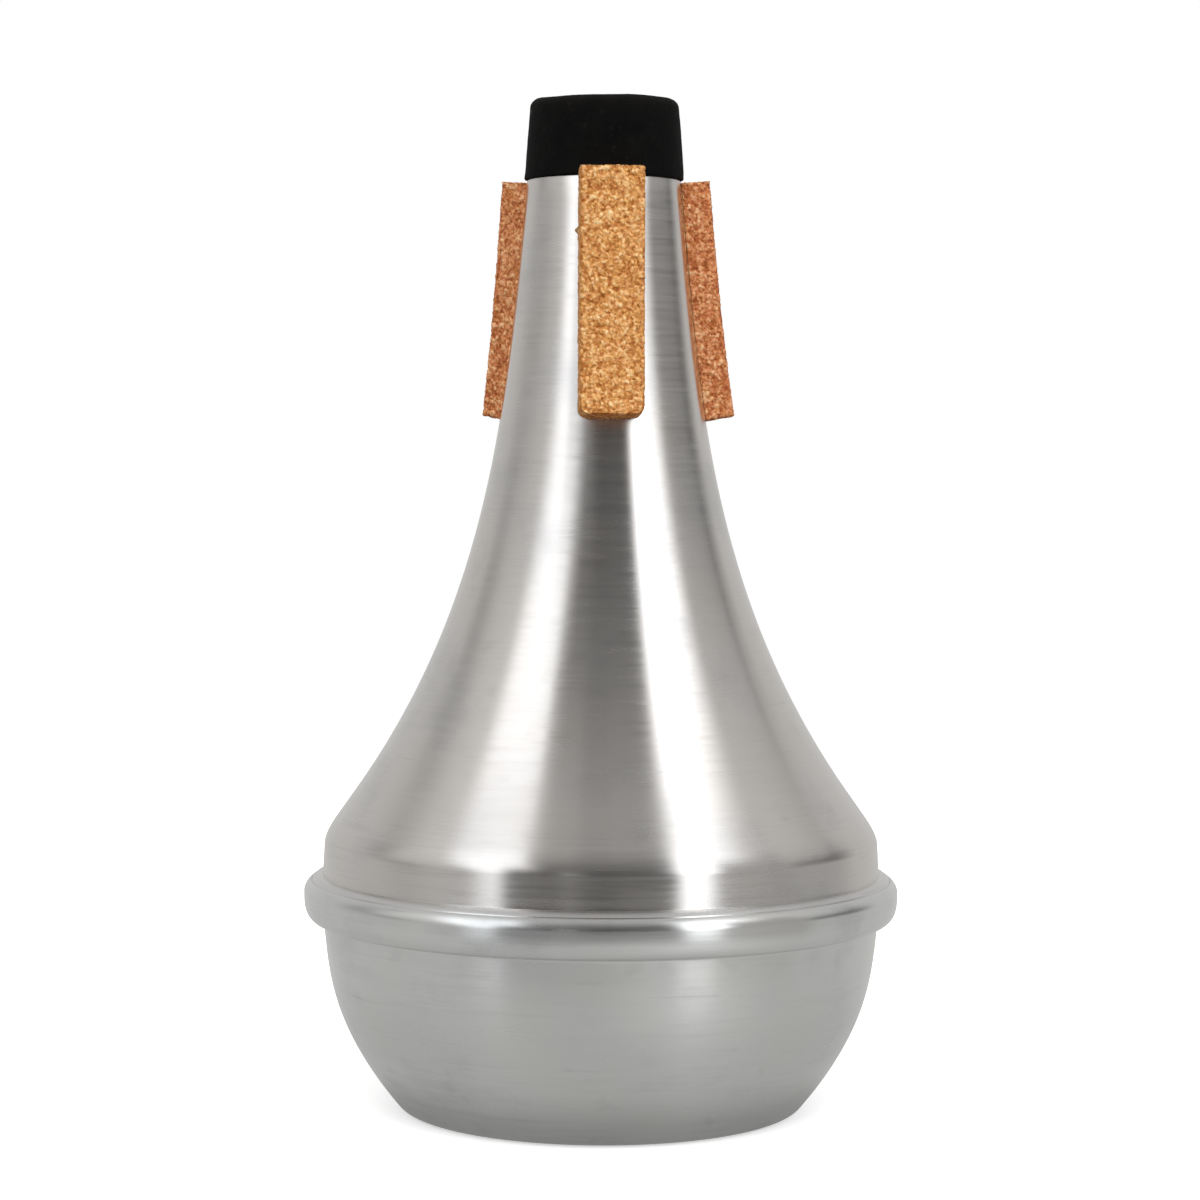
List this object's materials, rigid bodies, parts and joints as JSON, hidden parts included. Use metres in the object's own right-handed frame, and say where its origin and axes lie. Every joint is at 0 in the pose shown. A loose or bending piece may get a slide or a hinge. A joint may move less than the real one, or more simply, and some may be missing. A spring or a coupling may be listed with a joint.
{
  "type": "trumpet straight mute",
  "caption": "Spun aluminium straight mute: hollow flared cone and bowl joined in a rolled bead, open rubber-tipped neck, and cork strips that seat it in a trumpet bell.",
  "frame": {"origin": "centre of the flat base that the mute stands on", "axes": "+Z along the turning axis towards the open narrow end; the front cork strip faces -Y"},
  "size_m": [0.1, 0.1, 0.17],
  "materials": {
    "aluminium_cone": "satin, spun, fine circumferential lines",
    "aluminium_bowl": "satin, spun, slightly duller",
    "tip_rubber": "matte, fine pores",
    "cork": "agglomerated cork granules, cut face",
    "cement": "dried contact cement"
  },
  "bodies": {
    "root": {"cone_shell": "aluminium_cone", "base_bowl": "aluminium_bowl", "tip_ring": "tip_rubber", "tip_ring_glue": "cement", "cork_strip_front": "cork", "cork_strip_right": "cork", "cork_strip_left": "cork", "cork_glue_front": "cement", "cork_glue_right": "cement", "cork_glue_left": "cement"}
  },
  "joints": []
}
